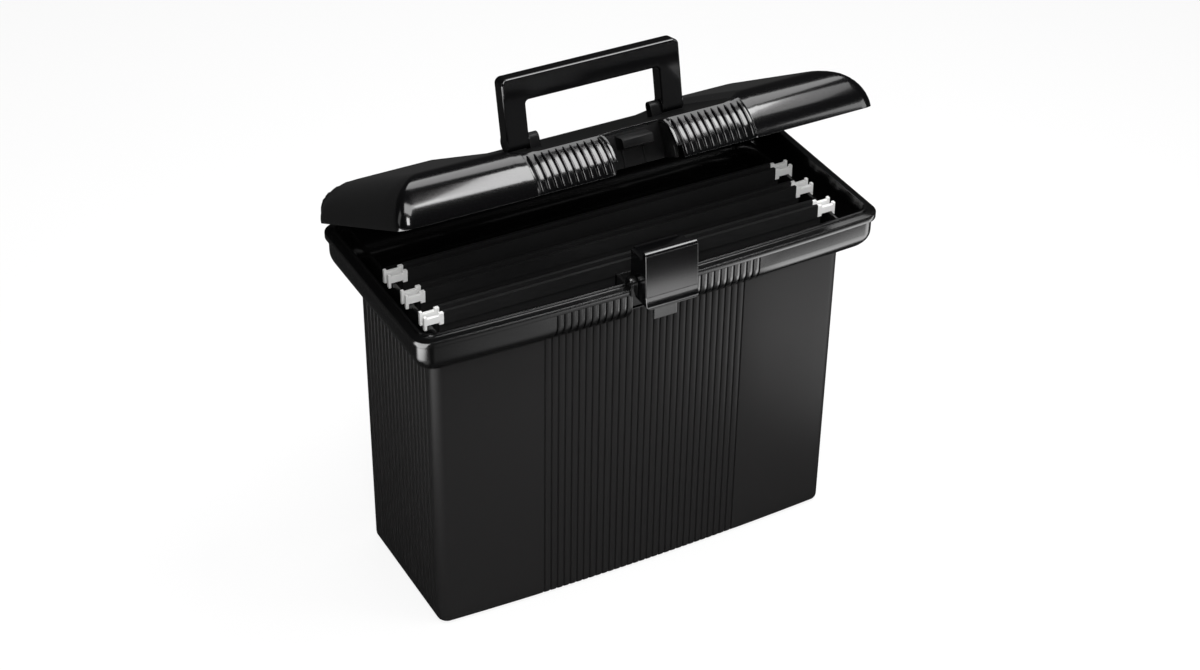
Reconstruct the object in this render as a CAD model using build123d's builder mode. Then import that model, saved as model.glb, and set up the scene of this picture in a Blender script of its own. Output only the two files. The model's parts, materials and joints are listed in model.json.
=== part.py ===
from build123d import *
import os
from math import atan2, cos, degrees, radians, sin, sqrt, tan

# A portable box for hanging folders: a deep tub with a flared collar, a hinged lid held half open,
# a folding carry handle on the lid, a rocking front latch, and three hanging folders on two rails.
# Millimetres. The origin is the centre of the tub's flat underside: X to the right, Y to the back, Z up.

# Tub
tub_width = 318.6
tub_depth = 120.5
tub_draft_x = 0.9
tub_draft_y = 1.5
tub_corner_radius = 8.0
tub_bottom_radius = 4.0
tub_wall = 2.5
tub_floor = 3.0
front_bow = 4.85

# Collar: the rounded flare at the tub's mouth, with a lip and a locating ridge on top
collar_base = 231.0
collar_rise = 16.3
collar_flare_x = 16.3
collar_flare_y = 17.9
collar_band = 10.7
collar_corner_radius = 10.0
collar_steps = 6
lip_overhang = 2.5
lip_height = 4.9
lip_corner_radius = 12.0
ridge_inset = 5.5
ridge_width = 2.0
ridge_height = 2.1

# Rails that the folders hang on
rail_thickness = 2.5
rail_rise = 22.0
rail_foot = 6.0

# Ribbed panels
front_rib_pitch = 5.6
front_rib_count = 28
side_rib_pitch = 6.0
side_rib_count = 16
groove_width = 1.2
groove_depth = 0.8
side_groove_depth = 0.5
lid_rib_pitch = 5.2
lid_rib_count = 11
lid_rib_margin = 2.5
lid_groove_depth = 1.2

# Lid, drawn closed about its hinge line, then opened
lid_side_overhang = 0.7
lid_back_inset = 0.35
lid_front_inset = 1.15
lid_bow = 4.7
lid_height = 31.0
lid_wall = 2.5
lid_roof_slope = 3.25
lid_back_radius = 12.0
lid_corner_radius = 9.0
lid_open_angle = 27.0
well_side_gap = 10.0
well_flank = 14.0
well_depth = 5.2

# Lid hinges behind the collar
hinge_stand_off = 4.85
seat_gap = 0.3
barrel_radius = 4.5
barrel_length = 22.0
hinge_ear_length = 7.0
hinge_spacing = 220.0
hinge_pin_radius = 1.6

# Handle
handle_width = 136.0
handle_leg = 16.5
handle_bar = 17.5
handle_thickness = 12.2
handle_reach = 46.5
handle_outer_radius = 4.5
handle_inner_radius = 3.0
handle_edge_radius = 1.5
handle_lean = 15.0
handle_pivot_depth = 96.0
handle_floor_gap = 0.6
handle_pin_radius = 2.5
handle_pin_depth = 8.0
handle_ear_width = 8.0
handle_ear_radius = 4.0

# Latch
latch_width = 40.0
latch_cheek = 3.2
latch_plate = 2.5
latch_stand_off = 12.0
latch_crease_drop = 5.9
latch_foot_drop = 10.5
latch_head_depth = 6.5
latch_head_height = 6.7
latch_hook_rise = 1.6
latch_hook_gap = 0.6
latch_hook_thickness = 2.5
latch_lip_flare = 2.2
latch_lip_radius = 3.0
latch_pivot_inset = 3.0
latch_pivot_rise = 3.6
latch_back_reach = 7.0
latch_pin_radius = 1.5
latch_ear_radius = 4.5
latch_ear_width = 5.1
latch_tab_width = 18.0
latch_tab_drop = 16.0
latch_tab_setback = 9.0
latch_tab_thickness = 2.4
pocket_clearance = 2.0
recess_clearance = 2.5
recess_reach = 18.0
ear_notch_clearance = 0.8
catch_side_gap = 5.3
catch_reach = 11.0
catch_height = 7.7
catch_top = 21.0

# Hanging folders, each named by its place, with the middle of its pocket
folder_middles = {"back": 11.5, "middle": -17.0, "front": -46.0}
sheet_side_gap = 5.95
sheet_bottom = 22.0
sheet_thickness = 0.6
sheet_hem_inset = 3.25
tab_slot_length = 6.0
tab_slot_height = 1.6
tab_slot_drop = 9.0
tab_slot_pitch = 27.0
tab_slot_count = 10
rod_half_spacing = 3.5
rod_thickness = 1.0
rod_height = 9.0
rod_neck_height = 3.6
rod_slack = 0.1
tip_thickness = 2.6
tip_middle_height = 5.2
tip_flare_height = 9.0
tip_flare_length = 3.4
tip_lug_gap = 0.55
tip_lug_length = 2.1
tip_lug_drop = 3.6
tip_lug_rise = 1.6
tip_end_wall = 3.3

# Fits
running_clearance = 0.05
pressed_clearance = 0.02
side_clearance = 0.4
overlap = 1.0

os.makedirs("parts", exist_ok=True)

# Sizes that follow
base_half_width = tub_width / 2
base_half_depth = tub_depth / 2
top_half_width = base_half_width + tub_draft_x
top_half_depth = base_half_depth + tub_draft_y
collar_half_width = top_half_width + collar_flare_x
collar_half_depth = top_half_depth + collar_flare_y
lip_half_width = collar_half_width + lip_overhang
lip_half_depth = collar_half_depth + lip_overhang
lip_base = collar_base + collar_rise + collar_band
rim_top = lip_base + lip_height
rim_front = lip_half_depth + front_bow
rail_outer = top_half_width - tub_wall
rail_inner = rail_outer - rail_thickness
rail_top = collar_base + rail_rise
hinge_y = lip_half_depth + hinge_stand_off
hinge_z = rim_top + seat_gap
lid_half_width = lip_half_width + lid_side_overhang
lid_back = hinge_stand_off + lid_back_inset
lid_front = hinge_y + lip_half_depth - lid_front_inset
slope = radians(lid_roof_slope)
roof_rise = tan(slope)
front_crest = lid_front - lid_height
roof_at_hinge = lid_height - front_crest * roof_rise
well_floor_half_width = handle_width / 2 + well_side_gap
latch_half = latch_width / 2
latch_front_y = -rim_front - latch_stand_off
latch_pivot_y = latch_pivot_inset - rim_front
latch_pivot_z = rim_top + latch_pivot_rise
pocket_back = top_half_depth + front_bow
pocket_half_width = latch_half + pocket_clearance
recess_half_width = latch_half + recess_clearance
recess_depth = lid_front - recess_reach


def bowed_plan(half_width, half_depth, bow, corner_radius, level):
    # A rounded rectangle whose front side bulges by the bow.
    with BuildSketch(Plane.XY.offset(level)) as plan:
        with BuildLine():
            front = ThreePointArc((-half_width, -half_depth), (0, -half_depth - bow), (half_width, -half_depth))
            Polyline(front @ 1, (half_width, half_depth), (-half_width, half_depth), front @ 0)
        make_face()
        fillet(plan.vertices(), corner_radius)
    return plan.sketch


def bow_at(x, half_width, bow):
    # How far the bulging front stands out at this distance from its middle.
    arc_radius = (half_width**2 + bow**2) / (2 * bow)
    return bow - arc_radius + sqrt(arc_radius**2 - x**2)


def collar_shape(inset, top):
    # The flared collar as a closed block up to the given top, drawn in by the inset for its hollow.
    sections = []
    for step in range(collar_steps + 1):
        turn = radians(90 * step / collar_steps)
        half_width = top_half_width + (collar_flare_x - inset) * sin(turn)
        half_depth = top_half_depth + (collar_flare_y - inset) * sin(turn)
        level = collar_base + collar_rise - (collar_rise - inset) * cos(turn)
        corner = tub_corner_radius + (collar_corner_radius - tub_corner_radius) * sin(turn)
        sections.append(bowed_plan(half_width, half_depth, front_bow, corner, level))
    with BuildPart() as shape:
        loft(sections, ruled=True)
        extrude(sections[-1], amount=top - collar_base - collar_rise)
    return shape.part


def rails():
    # Two upright strips inside the collar, grown from the tub's side walls.
    rail_middle = (rail_inner + rail_outer) / 2
    with BuildPart() as strips:
        with BuildSketch(Plane.XY.offset(collar_base)):
            with Locations((rail_middle, 0), (-rail_middle, 0)):
                Rectangle(rail_thickness, 2 * lip_half_depth)
        extrude(amount=rail_top - collar_base)
        add(collar_shape(tub_wall / 2, lip_base), mode=Mode.INTERSECT)
        with BuildSketch(Plane.XY.offset(collar_base - rail_foot)):
            with Locations((rail_middle, 0), (-rail_middle, 0)):
                Rectangle(rail_thickness, 2 * (top_half_depth - tub_wall))
        extrude(amount=rail_foot + tub_wall)
    return strips.part


def front_groove():
    # The slice that one groove takes off the middle of the front, from the foot to the lip.
    floor_point = (-base_half_depth + groove_depth, 0)
    points = [floor_point]
    for step in range(collar_steps + 1):
        turn = radians(90 * step / collar_steps)
        depth = top_half_depth - groove_depth + collar_flare_y * sin(turn)
        level = collar_base + (collar_rise - groove_depth) * (1 - cos(turn))
        points.append((-depth, level))
    points.append((-(collar_half_depth - groove_depth), lip_base))
    points.append((-lip_half_depth - overlap, lip_base))
    points.append((-lip_half_depth - overlap, 0))
    with BuildPart() as groove:
        with BuildSketch(Plane.YZ):
            Polygon(*points, align=None)
        extrude(amount=groove_width / 2, both=True)
    return groove.part


def side_groove():
    # The slice that one groove takes off the right side.
    points = [
        (base_half_width - side_groove_depth, 0),
        (base_half_width + overlap + tub_draft_x, 0),
        (base_half_width + overlap + tub_draft_x, collar_base),
        (top_half_width - side_groove_depth, collar_base),
    ]
    with BuildPart() as groove:
        with BuildSketch(Plane.XZ):
            Polygon(*points, align=None)
        extrude(amount=groove_width / 2, both=True)
    return groove.part


def pivot_ear(start_x, width, pivot_y, pivot_z, radius, foot_z, bore_radius):
    # An upright ear: a round head about its bore, on a foot as wide as the head.
    with BuildPart() as ear:
        with BuildSketch(Plane.YZ.offset(start_x)):
            with Locations((pivot_y, pivot_z)):
                Circle(radius)
            with Locations((pivot_y, (pivot_z + foot_z) / 2)):
                Rectangle(2 * radius, pivot_z - foot_z)
            with Locations((pivot_y, pivot_z)):
                Circle(bore_radius, mode=Mode.SUBTRACT)
        extrude(amount=width)
    return ear.part


def pin_along_x(start_x, length, pivot_y, pivot_z, radius):
    with BuildPart() as pin:
        with BuildSketch(Plane.YZ.offset(start_x)):
            with Locations((pivot_y, pivot_z)):
                Circle(radius)
        extrude(amount=length)
    return pin.part


def hinge_knuckle(length, arm_y, arm_low, arm_high, bore_radius):
    # A hinge knuckle about the X axis, with an arm that runs to the wall it belongs to.
    with BuildPart() as knuckle:
        with BuildSketch(Plane.YZ):
            Circle(barrel_radius)
            with Locations((arm_y / 2, (arm_low + arm_high) / 2)):
                Rectangle(abs(arm_y), arm_high - arm_low)
            Circle(bore_radius, mode=Mode.SUBTRACT)
        extrude(amount=length / 2, both=True)
    return knuckle.part


# Tub
front_grooves = []
for index in range(front_rib_count + 1):
    groove_x = (index - front_rib_count / 2) * front_rib_pitch
    groove_y = -bow_at(groove_x, top_half_width, front_bow)
    front_grooves.append(front_groove().moved(Location((groove_x, groove_y, 0))))

side_grooves = []
for index in range(side_rib_count + 1):
    right_groove = side_groove().moved(Location((0, (index - side_rib_count / 2) * side_rib_pitch, 0)))
    side_grooves.append(right_groove)
    side_grooves.append(mirror(right_groove, about=Plane.YZ))

latch_ear_start = latch_half + side_clearance
notch_half_width = latch_ear_start + latch_ear_width + ear_notch_clearance
latch_ear_right = pivot_ear(
    latch_ear_start, latch_ear_width, latch_pivot_y, latch_pivot_z,
    latch_ear_radius, lip_base, latch_pin_radius + pressed_clearance,
)
lip_arm = hinge_y - lip_half_depth + overlap
tub_knuckle = hinge_knuckle(
    hinge_ear_length, -lip_arm, -barrel_radius, -seat_gap, hinge_pin_radius + pressed_clearance
)
tub_knuckle_offset = barrel_length / 2 + side_clearance + hinge_ear_length / 2
tub_knuckle_places = [
    Location((side * hinge_spacing / 2 + end * tub_knuckle_offset, hinge_y, hinge_z))
    for side in (-1, 1)
    for end in (-1, 1)
]

# The hollow of the collar stays clear of the latch pocket's walls
ridge_inner = ridge_inset + ridge_width
mouth_rise = rim_top + ridge_height + overlap - collar_base
mouth_plan = bowed_plan(
    lip_half_width - ridge_inner, lip_half_depth - ridge_inner, front_bow, tub_corner_radius, lip_base - overlap
)
with BuildPart() as collar_hollow:
    add(collar_shape(tub_wall, lip_base))
    extrude(mouth_plan, amount=lip_height + ridge_height + 2 * overlap)
    with BuildSketch(Plane.XY.offset(collar_base)):
        with Locations((0, tub_wall - pocket_back - rim_front / 2)):
            Rectangle(2 * (pocket_half_width + tub_wall), rim_front)
    extrude(amount=rim_top - collar_base, mode=Mode.SUBTRACT)

inner_corner = tub_corner_radius - tub_wall
inner_plans = [
    bowed_plan(base_half_width - tub_wall, base_half_depth - tub_wall, front_bow, inner_corner, tub_floor),
    bowed_plan(top_half_width - tub_wall, top_half_depth - tub_wall, front_bow, inner_corner, collar_base),
]

with BuildPart() as tub:
    loft([
        bowed_plan(base_half_width, base_half_depth, front_bow, tub_corner_radius, 0),
        bowed_plan(top_half_width, top_half_depth, front_bow, tub_corner_radius, collar_base),
    ], ruled=True)
    fillet(tub.faces().sort_by(Axis.Z)[0].edges(), tub_bottom_radius)
    add(collar_shape(0, lip_base))
    extrude(bowed_plan(lip_half_width, lip_half_depth, front_bow, lip_corner_radius, lip_base), amount=lip_height)
    ridge_plan = bowed_plan(
        lip_half_width - ridge_inset, lip_half_depth - ridge_inset, front_bow, collar_corner_radius, rim_top
    )
    extrude(ridge_plan, amount=ridge_height)
    add(front_grooves + side_grooves, mode=Mode.SUBTRACT)

    # Hollows: the collar, the deep inside, and the straight mouth above it
    add(collar_hollow.part, mode=Mode.SUBTRACT)
    loft(inner_plans, ruled=True, mode=Mode.SUBTRACT)
    extrude(inner_plans[-1], amount=mouth_rise, mode=Mode.SUBTRACT)

    # Latch pocket, open to the front, and the gap it makes in the ridge
    with BuildSketch(Plane.XY.offset(collar_base)):
        with Locations((0, -pocket_back - rim_front / 2)):
            Rectangle(2 * pocket_half_width, rim_front)
    extrude(amount=mouth_rise, mode=Mode.SUBTRACT)
    with BuildSketch(Plane.XY.offset(rim_top)):
        with Locations((0, -pocket_back - rim_front / 2)):
            Rectangle(2 * notch_half_width, rim_front)
    extrude(amount=mouth_rise, mode=Mode.SUBTRACT)

    add(rails())
    add([latch_ear_right, mirror(latch_ear_right, about=Plane.YZ)])
    add([tub_knuckle.moved(place) for place in tub_knuckle_places])
tub.part.label = "tub"
export_step(tub.part, "parts/tub.step")


# Lid, drawn closed: its hinge line is the X axis, its front points to -Y and its rim lies at Z 0
def lid_block(inset):
    # The lid's rounded shell as a closed block, drawn in by the inset for its hollow.
    roll = lid_height - inset
    back_y = -lid_back - inset
    front_y = -lid_front - lid_bow - overlap
    roof_drop = inset / cos(slope)
    arc_radius = (lid_half_width**2 + lid_bow**2) / (2 * lid_bow)
    axis_y = arc_radius - lid_front - lid_bow
    half_arc = atan2(lid_half_width + overlap, axis_y)
    radial_plane = Plane(
        origin=(0, axis_y, 0),
        x_dir=(-sin(half_arc), -cos(half_arc), 0),
        z_dir=(-cos(half_arc), sin(half_arc), 0),
    )
    with BuildPart() as block:
        # Rounded sides
        with BuildSketch(Plane.XZ):
            with BuildLine():
                right = CenterArc((lid_half_width - lid_height, 0), roll, 0, 90)
                left = CenterArc((lid_height - lid_half_width, 0), roll, 90, 90)
                Line(right @ 1, left @ 0)
                Line(left @ 1, right @ 0)
            make_face()
        extrude(amount=-front_y)

        # Roof that falls to the back, and the rounded back edge
        with BuildSketch(Plane.YZ) as roof:
            Polygon(
                (back_y, 0),
                (back_y, roof_at_hinge - back_y * roof_rise - roof_drop),
                (front_y, roof_at_hinge - front_y * roof_rise - roof_drop),
                (front_y, 0),
                align=None,
            )
            fillet(roof.vertices().group_by(Axis.X)[-1].sort_by(Axis.Y)[-1], lid_back_radius - inset)
        extrude(amount=lid_half_width + overlap, both=True, mode=Mode.INTERSECT)

        # Rounded front, turned about a far axis so that it bulges
        with BuildSketch(radial_plane):
            with BuildLine():
                front = CenterArc((arc_radius - lid_height, 0), roll, 0, 90)
                Polyline(front @ 1, (axis_y, roll), (axis_y, 0), front @ 0)
            make_face()
        revolve(
            axis=Axis((0, axis_y, 0), (0, 0, 1)), revolution_arc=2 * degrees(half_arc), mode=Mode.INTERSECT
        )

        # Rounded corners in plan
        plan = bowed_plan(
            lid_half_width - inset, (lid_front - lid_back) / 2 - inset, lid_bow, lid_corner_radius - inset, 0
        )
        extrude(
            plan.moved(Location((0, -(lid_front + lid_back) / 2, 0))), amount=lid_height, mode=Mode.INTERSECT
        )
    return block.part


def well_block(drop):
    # The tapered trough that the handle folds into, or the skin left under it for a larger drop.
    flank = well_flank / well_depth
    trough_plane = Plane(origin=(0, 0, roof_at_hinge), x_dir=(1, 0, 0), z_dir=(0, -cos(slope), sin(slope)))
    skin = drop - well_depth
    floor_half = well_floor_half_width + skin
    top_half = floor_half + flank * drop
    with BuildPart() as trough:
        with BuildSketch(trough_plane):
            Polygon(
                (-floor_half, -drop), (floor_half, -drop), (top_half, 0),
                (top_half, lid_height), (-top_half, lid_height), (-top_half, 0),
                align=None,
            )
        extrude(amount=lid_front + lid_bow + overlap)
    return trough.part


def recess_block(half_width, depth):
    # The upright notch in the lid's front for the latch.
    front_y = -lid_front - lid_bow - overlap
    with BuildPart() as notch:
        with BuildSketch(Plane.XY):
            with Locations((0, (front_y - depth) / 2)):
                Rectangle(2 * half_width, -front_y - depth)
        extrude(amount=lid_height + overlap)
    return notch.part


def lid_groove():
    # The slice that one groove takes off the middle of the rounded front.
    with BuildPart() as groove:
        with BuildSketch(Plane.YZ):
            with Locations((-front_crest, 0)):
                Circle(lid_height + overlap)
                Circle(lid_height - lid_groove_depth, mode=Mode.SUBTRACT)
                Rectangle(lid_front, lid_front, align=(Align.MIN, Align.CENTER), mode=Mode.SUBTRACT)
        extrude(amount=groove_width / 2, both=True)
    return groove.part


lid_grooves = []
lid_rib_start = recess_half_width + lid_rib_margin
for index in range(lid_rib_count + 1):
    for side in (-1, 1):
        groove_x = side * (lid_rib_start + index * lid_rib_pitch)
        groove_y = -bow_at(groove_x, lid_half_width, lid_bow)
        lid_grooves.append(lid_groove().moved(Location((groove_x, groove_y, 0))))

well_floor_at_pivot = roof_at_hinge + handle_pivot_depth * roof_rise - well_depth / cos(slope)
handle_pivot_height = well_floor_at_pivot + handle_floor_gap + handle_thickness / 2
leg_inner = handle_width / 2 - handle_leg
handle_ear_start = leg_inner - side_clearance - handle_ear_width
handle_ear_right = pivot_ear(
    handle_ear_start, handle_ear_width, -handle_pivot_depth, handle_pivot_height,
    handle_ear_radius, well_floor_at_pivot - overlap, handle_pin_radius + pressed_clearance,
)
lid_knuckle = hinge_knuckle(
    barrel_length, -lid_back - overlap, 0, barrel_radius, hinge_pin_radius + running_clearance
)

with BuildPart() as lid_hollow:
    add(lid_block(lid_wall))
    add(well_block(well_depth + lid_wall), mode=Mode.SUBTRACT)
    add(recess_block(recess_half_width + lid_wall, recess_depth - lid_wall), mode=Mode.SUBTRACT)

with BuildPart() as closed_lid:
    add(lid_block(0))
    add(lid_grooves, mode=Mode.SUBTRACT)
    add(lid_hollow.part, mode=Mode.SUBTRACT)
    add(well_block(well_depth), mode=Mode.SUBTRACT)
    add(recess_block(recess_half_width, recess_depth), mode=Mode.SUBTRACT)

    # Notches over the latch ears
    notch_back = hinge_y - latch_pivot_y - latch_ear_radius - ear_notch_clearance
    with BuildSketch(Plane.XY):
        with Locations((0, -notch_back)):
            Rectangle(2 * notch_half_width, lid_front, align=(Align.CENTER, Align.MAX))
    extrude(amount=latch_pivot_z + latch_ear_radius + ear_notch_clearance - hinge_z, mode=Mode.SUBTRACT)

    # Catch that the latch hooks over
    catch_width = latch_width - 2 * (latch_cheek + catch_side_gap)
    with BuildSketch(Plane.XY.offset(catch_top - catch_height)):
        with Locations((0, -recess_depth)):
            Rectangle(catch_width, catch_reach + overlap, align=(Align.CENTER, Align.MAX))
        with Locations((0, overlap - recess_depth)):
            Rectangle(catch_width, 2 * overlap, align=(Align.CENTER, Align.MAX))
    extrude(amount=catch_height)

    add([handle_ear_right, mirror(handle_ear_right, about=Plane.YZ)])
    add([lid_knuckle.moved(Location((side * hinge_spacing / 2, 0, 0))) for side in (-1, 1)])

lid_place = Location((0, hinge_y, hinge_z), (-lid_open_angle, 0, 0))
with BuildPart() as lid:
    add(closed_lid.part.moved(lid_place))
lid.part.label = "lid"
export_step(lid.part, "parts/lid.step")


# Lid hinge pins
hinge_pin_length = barrel_length + 2 * (side_clearance + hinge_ear_length)
for side_name, side in (("left", -1), ("right", 1)):
    with BuildPart() as hinge_pin:
        add(pin_along_x(
            side * hinge_spacing / 2 - hinge_pin_length / 2, hinge_pin_length, hinge_y, hinge_z, hinge_pin_radius
        ))
    hinge_pin.part.label = f"lid_hinge_pin_{side_name}"
    export_step(hinge_pin.part, f"parts/lid_hinge_pin_{side_name}.step")


# Handle, drawn upright about its pivot, then leaned and placed on the lid
handle_place = lid_place * Location((0, -handle_pivot_depth, handle_pivot_height), (handle_lean, 0, 0))
with BuildPart() as upright_handle:
    with BuildSketch(Plane.XZ) as handle_face:
        with Locations((0, handle_reach / 2)):
            Rectangle(handle_width, handle_reach)
        fillet(handle_face.vertices().group_by(Axis.Y)[-1], handle_outer_radius)
    extrude(amount=handle_thickness / 2, both=True)
    with BuildSketch(Plane.XZ) as handle_opening:
        with Locations((0, (handle_reach - handle_bar) / 2)):
            Rectangle(2 * leg_inner, handle_reach - handle_bar)
        fillet(handle_opening.vertices().group_by(Axis.Y)[-1], handle_inner_radius)
    extrude(amount=handle_thickness / 2, both=True, mode=Mode.SUBTRACT)
    face_edges = upright_handle.faces().filter_by(Axis.Y).edges()
    fillet(face_edges.filter_by(lambda edge: edge.center().Z > overlap), handle_edge_radius)
    for leg_start in (leg_inner, -handle_width / 2):
        with BuildSketch(Plane.YZ.offset(leg_start)):
            Circle(handle_thickness / 2)
        extrude(amount=handle_leg)
    for bore_start in (leg_inner, -leg_inner - handle_pin_depth - side_clearance):
        with BuildSketch(Plane.YZ.offset(bore_start)):
            Circle(handle_pin_radius + running_clearance)
        extrude(amount=handle_pin_depth + side_clearance, mode=Mode.SUBTRACT)

with BuildPart() as handle:
    add(upright_handle.part.moved(handle_place))
handle.part.label = "handle"
export_step(handle.part, "parts/handle.step")

handle_pin_length = handle_ear_width + side_clearance + handle_pin_depth
for side_name, pin_start in (("left", -handle_ear_start - handle_pin_length), ("right", handle_ear_start)):
    with BuildPart() as handle_pin:
        add(pin_along_x(
            pin_start, handle_pin_length, -handle_pivot_depth, handle_pivot_height, handle_pin_radius
        ).moved(lid_place))
    handle_pin.part.label = f"handle_pin_{side_name}"
    export_step(handle_pin.part, f"parts/handle_pin_{side_name}.step")


# Latch, upright: two cheeks, a front plate with a rolled top and a flared lip, a hook and a finger tab
catch_front_y = hinge_y - recess_depth - catch_reach
latch_hook_y = catch_front_y - latch_hook_gap
hook_low = hinge_z + catch_top + latch_hook_rise
hook_high = hook_low + latch_hook_thickness
latch_top = hook_high + latch_head_height
latch_crease = rim_top - latch_crease_drop
latch_foot = rim_top - latch_foot_drop
tab_low = latch_foot - latch_tab_drop
plate_back = latch_front_y + latch_plate
latch_step_y = latch_front_y + latch_head_depth
latch_back_y = latch_pivot_y + latch_back_reach
latch_tab_y = latch_front_y + latch_tab_setback
with BuildPart() as latch:
    with BuildSketch(Plane.YZ.offset(latch_half)) as cheek:
        Polygon(
            (latch_front_y, latch_crease), (latch_front_y, latch_top), (latch_step_y, latch_top),
            (latch_step_y, hook_high), (latch_back_y, hook_high), (latch_back_y, latch_pivot_z),
            (latch_back_y - latch_cheek, latch_foot), (latch_front_y, latch_foot),
            align=None,
        )
        fillet(cheek.vertices().group_by(Axis.X)[0].sort_by(Axis.Y)[-1], latch_plate)
    extrude(amount=-latch_width)

    # Open back between the cheeks, under the rolled top and the hook
    with BuildSketch(Plane.YZ.offset(latch_half - latch_cheek)):
        Polygon(
            (plate_back, latch_foot + latch_plate), (plate_back, latch_top - latch_plate),
            (latch_step_y - latch_plate, latch_top - latch_plate), (latch_step_y - latch_plate, hook_low),
            (latch_back_y + overlap, hook_low), (latch_back_y + overlap, latch_foot - overlap),
            (latch_tab_y - latch_tab_thickness / 2 - overlap, latch_foot - overlap),
            (latch_tab_y - latch_tab_thickness / 2 - overlap, latch_foot + latch_plate),
            align=None,
        )
    extrude(amount=2 * latch_cheek - latch_width, mode=Mode.SUBTRACT)

    # Hook
    with BuildSketch(Plane.XY.offset(hook_low)):
        with Locations((0, (latch_step_y + latch_hook_y) / 2)):
            Rectangle(latch_width - 2 * latch_cheek, latch_hook_y - latch_step_y)
    extrude(amount=latch_hook_thickness)

    # Flared lip
    with BuildSketch(Plane.YZ.offset(latch_half)):
        Polygon(
            (latch_front_y, latch_crease), (latch_front_y - latch_lip_flare, latch_foot + overlap),
            (latch_front_y - latch_lip_flare, latch_foot), (latch_front_y + overlap, latch_foot),
            align=None,
        )
    extrude(amount=-latch_width)

    # Lower corners rounded off
    with BuildSketch(Plane.XZ) as front_outline:
        with Locations((0, latch_foot)):
            Rectangle(latch_width, latch_top - latch_foot, align=(Align.CENTER, Align.MIN))
        fillet(front_outline.vertices().group_by(Axis.Y)[0], latch_lip_radius)
    extrude(amount=latch_lip_flare + overlap - latch_front_y, mode=Mode.INTERSECT)

    # Finger tab below
    with BuildSketch(Plane.YZ):
        with Locations((latch_tab_y, (latch_foot + latch_plate + tab_low) / 2)):
            Rectangle(latch_tab_thickness, latch_foot + latch_plate - tab_low)
        with Locations(((latch_front_y + latch_tab_y) / 2, latch_foot + latch_plate / 2)):
            Rectangle(latch_tab_y - latch_front_y, latch_plate)
    extrude(amount=latch_tab_width / 2, both=True)

    with BuildSketch(Plane.YZ):
        with Locations((latch_pivot_y, latch_pivot_z)):
            Circle(latch_pin_radius + running_clearance)
    extrude(amount=latch_half, both=True, mode=Mode.SUBTRACT)
latch.part.label = "latch"
export_step(latch.part, "parts/latch.step")

latch_pin_half = latch_ear_start + latch_ear_width
with BuildPart() as latch_pin:
    add(pin_along_x(-latch_pin_half, 2 * latch_pin_half, latch_pivot_y, latch_pivot_z, latch_pin_radius))
latch_pin.part.label = "latch_pin"
export_step(latch_pin.part, "parts/latch_pin.step")


# Hanging folders: the rods' tips sit a hair above the rails and their lugs reach down outside them
tip_low = rail_top + seat_gap
tip_middle = tip_low + tip_middle_height / 2
rod_top = tip_middle + rod_height / 2
hem_half = rod_thickness / 2 + rod_slack + sheet_thickness
hem_top = rod_top + rod_slack + sheet_thickness
hem_height = rod_height + 2 * (rod_slack + sheet_thickness)
hem_low = hem_top - hem_height
fold_radius = rod_half_spacing + sheet_thickness / 2
sheet_half_width = rail_inner - sheet_side_gap
hem_half_width = sheet_half_width - sheet_hem_inset
lug_inner = rail_outer + tip_lug_gap
tip_half = lug_inner + tip_lug_length
tip_inner = hem_half_width + rod_slack
rod_end = tip_half - tip_end_wall


def folder_sheet(middle_y):
    # One folded sheet: a narrow pocket with a hem round each rod, its top corners cut away for the tips.
    fold_z = sheet_bottom + fold_radius
    with BuildPart() as sheet:
        with BuildSketch(Plane.YZ):
            with Locations((middle_y, fold_z)):
                Circle(fold_radius)
                Circle(fold_radius - sheet_thickness, mode=Mode.SUBTRACT)
                Rectangle(
                    2 * fold_radius, fold_radius, align=(Align.CENTER, Align.MIN), mode=Mode.SUBTRACT
                )
            for side in (-1, 1):
                with Locations((middle_y + side * rod_half_spacing, fold_z)):
                    Rectangle(sheet_thickness, hem_low - fold_z, align=(Align.CENTER, Align.MIN))
        extrude(amount=sheet_half_width, both=True)
        with BuildSketch(Plane.YZ):
            for side in (-1, 1):
                with Locations((middle_y + side * rod_half_spacing, hem_low + hem_height / 2)):
                    Rectangle(2 * hem_half, hem_height)
                    Rectangle(rod_thickness + 2 * rod_slack, rod_height + 2 * rod_slack, mode=Mode.SUBTRACT)
        extrude(amount=hem_half_width, both=True)
        with BuildSketch(Plane.XZ.offset(-middle_y)):
            first_slot = -tab_slot_pitch * (tab_slot_count - 1) / 2
            for index in range(tab_slot_count):
                with Locations((first_slot + index * tab_slot_pitch, hem_low - tab_slot_drop)):
                    Rectangle(tab_slot_length, tab_slot_height)
        extrude(amount=fold_radius + overlap, both=True, mode=Mode.SUBTRACT)
    return sheet.part


def folder_rod(rod_y):
    # A flat steel strip with a narrow neck at each end, inside the tips.
    with BuildPart() as rod:
        with BuildSketch(Plane.XZ.offset(-rod_y)):
            with Locations((0, tip_middle)):
                Rectangle(2 * hem_half_width, rod_height)
                Rectangle(2 * rod_end, rod_neck_height)
        extrude(amount=rod_thickness / 2, both=True)
    return rod.part


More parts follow.
